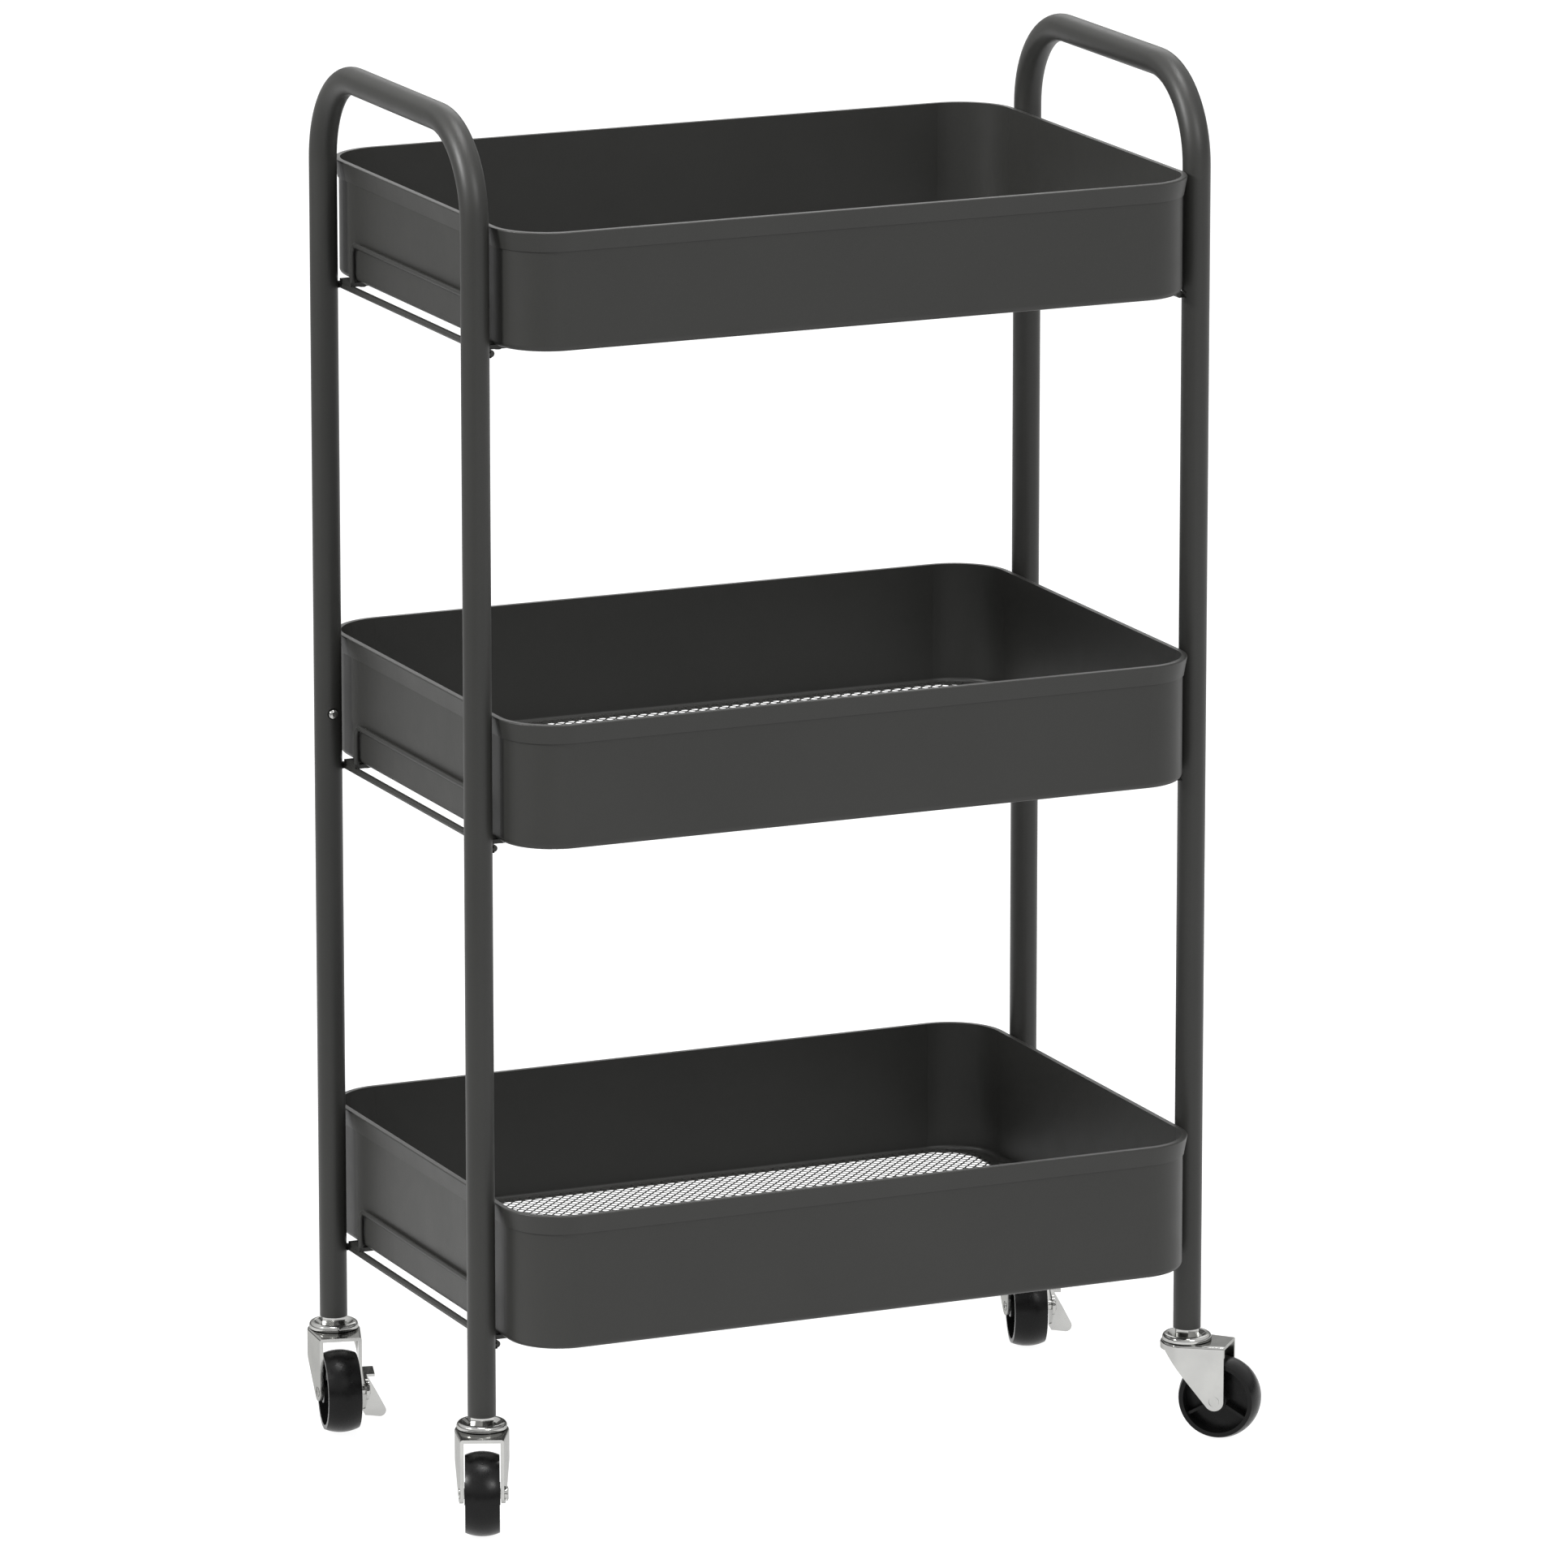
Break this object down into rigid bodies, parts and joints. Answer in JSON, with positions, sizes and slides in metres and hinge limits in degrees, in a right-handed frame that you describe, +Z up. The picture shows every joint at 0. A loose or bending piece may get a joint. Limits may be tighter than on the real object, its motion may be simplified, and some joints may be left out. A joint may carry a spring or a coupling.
{
  "type": "rolling utility cart",
  "caption": "Narrow tiered rolling cart with sheet-metal baskets, mesh floors, tube end frames with bent handles, and swivel casters with brakes at the rear.",
  "frame": {"origin": "on the floor, below the middle of the four posts", "axes": "+Z up, +X along the cart from the left end frame to the right one, -Y to the front long side"},
  "size_m": [0.5034, 0.3108, 0.8039],
  "materials": {
    "powder_coat": "matte fine texture",
    "chrome": "bright plating",
    "zinc_steel": "zinc plated",
    "spring_steel": "plain",
    "wheel_plastic": "moulded"
  },
  "bodies": {
    "frame": {"left_handle_frame": "powder_coat", "right_handle_frame": "powder_coat", "top_basket": "powder_coat", "top_mesh_floor": "powder_coat", "top_basket_screws": "powder_coat", "top_left_bracket": "powder_coat", "top_right_bracket": "powder_coat", "middle_basket": "powder_coat", "middle_mesh_floor": "powder_coat", "middle_basket_screws": "powder_coat", "middle_left_bracket": "powder_coat", "middle_right_bracket": "powder_coat", "bottom_basket": "powder_coat", "bottom_mesh_floor": "powder_coat", "bottom_basket_screws": "powder_coat", "bottom_left_bracket": "powder_coat", "bottom_right_bracket": "powder_coat", "front_left_post": "powder_coat", "front_left_snap_spring": "spring_steel", "front_right_post": "powder_coat", "front_right_snap_spring": "spring_steel", "rear_left_post": "powder_coat", "rear_left_snap_spring": "spring_steel", "rear_right_post": "powder_coat", "rear_right_snap_spring": "spring_steel", "stem_sockets": "zinc_steel", "caster_nuts": "chrome", "bearing_balls": "spring_steel", "front_left_caster_stud": "chrome", "front_left_swivel_race": "chrome", "front_right_caster_stud": "chrome", "front_right_swivel_race": "chrome", "rear_left_caster_stud": "chrome", "rear_left_swivel_race": "chrome", "rear_right_caster_stud": "chrome", "rear_right_swivel_race": "chrome"},
    "front_left_caster": {"front_left_fork": "chrome", "front_left_axle": "chrome"},
    "front_left_wheel": {"front_left_wheel": "wheel_plastic"},
    "front_left_button": {"front_left_snap_button": "chrome"},
    "front_right_caster": {"front_right_fork": "chrome", "front_right_axle": "chrome"},
    "front_right_wheel": {"front_right_wheel": "wheel_plastic"},
    "front_right_button": {"front_right_snap_button": "chrome"},
    "rear_left_caster": {"rear_left_fork": "chrome", "rear_left_axle": "chrome"},
    "rear_left_wheel": {"rear_left_wheel": "wheel_plastic"},
    "rear_left_brake": {"rear_left_brake_lever": "chrome"},
    "rear_left_button": {"rear_left_snap_button": "chrome"},
    "rear_right_caster": {"rear_right_fork": "chrome", "rear_right_axle": "chrome"},
    "rear_right_wheel": {"rear_right_wheel": "wheel_plastic"},
    "rear_right_brake": {"rear_right_brake_lever": "chrome"},
    "rear_right_button": {"rear_right_snap_button": "chrome"}
  },
  "joints": [
    {"name": "front_left_swivel", "type": "hinge", "parent": "frame", "child": "front_left_caster", "pos_m": [-0.2203, -0.1118, 0.0568], "axis": [0, 0, 1], "continuous": true},
    {"name": "front_left_roll", "type": "hinge", "parent": "front_left_caster", "child": "front_left_wheel", "pos_m": [-0.22792, -0.13029, 0.024], "axis": [0.9245, -0.3811, 0], "continuous": true},
    {"name": "front_left_button_press", "type": "slide", "parent": "frame", "child": "front_left_button", "axis": [0, -1, 0], "range_m": [0, 0.0032], "stiffness_N_per_m": 300, "springref_m": -0.004, "deforming": ["front_left_snap_spring"]},
    {"name": "front_right_swivel", "type": "hinge", "parent": "frame", "child": "front_right_caster", "pos_m": [0.2203, -0.1118, 0.0568], "axis": [0, 0, 1], "continuous": true},
    {"name": "front_right_roll", "type": "hinge", "parent": "front_right_caster", "child": "front_right_wheel", "pos_m": [0.23526, -0.12508, 0.024], "axis": [0.6639, 0.7478, 0], "continuous": true},
    {"name": "front_right_button_press", "type": "slide", "parent": "frame", "child": "front_right_button", "axis": [0, -1, 0], "range_m": [0, 0.0032], "stiffness_N_per_m": 300, "springref_m": -0.004, "deforming": ["front_right_snap_spring"]},
    {"name": "rear_left_swivel", "type": "hinge", "parent": "frame", "child": "rear_left_caster", "pos_m": [-0.2203, 0.1118, 0.0568], "axis": [0, 0, 1], "continuous": true},
    {"name": "rear_left_roll", "type": "hinge", "parent": "rear_left_caster", "child": "rear_left_wheel", "pos_m": [-0.22466, 0.09228, 0.024], "axis": [0.9759, -0.2181, 0], "continuous": true},
    {"name": "rear_left_brake", "type": "hinge", "parent": "rear_left_caster", "child": "rear_left_brake", "pos_m": [-0.22466, 0.09228, 0.024], "axis": [0.9759, -0.2181, 0], "range_deg": [0, 30]},
    {"name": "rear_left_button_press", "type": "slide", "parent": "frame", "child": "rear_left_button", "axis": [0, 1, 0], "range_m": [0, 0.0032], "stiffness_N_per_m": 300, "springref_m": -0.004, "deforming": ["rear_left_snap_spring"]},
    {"name": "rear_right_swivel", "type": "hinge", "parent": "frame", "child": "rear_right_caster", "pos_m": [0.2203, 0.1118, 0.0568], "axis": [0, 0, 1], "continuous": true},
    {"name": "rear_right_roll", "type": "hinge", "parent": "rear_right_caster", "child": "rear_right_wheel", "pos_m": [0.21445, 0.09267, 0.024], "axis": [0.9563, -0.2924, 0], "continuous": true},
    {"name": "rear_right_brake", "type": "hinge", "parent": "rear_right_caster", "child": "rear_right_brake", "pos_m": [0.21445, 0.09267, 0.024], "axis": [0.9563, -0.2924, 0], "range_deg": [0, 30]},
    {"name": "rear_right_button_press", "type": "slide", "parent": "frame", "child": "rear_right_button", "axis": [0, 1, 0], "range_m": [0, 0.0032], "stiffness_N_per_m": 300, "springref_m": -0.004, "deforming": ["rear_right_snap_spring"]}
  ]
}
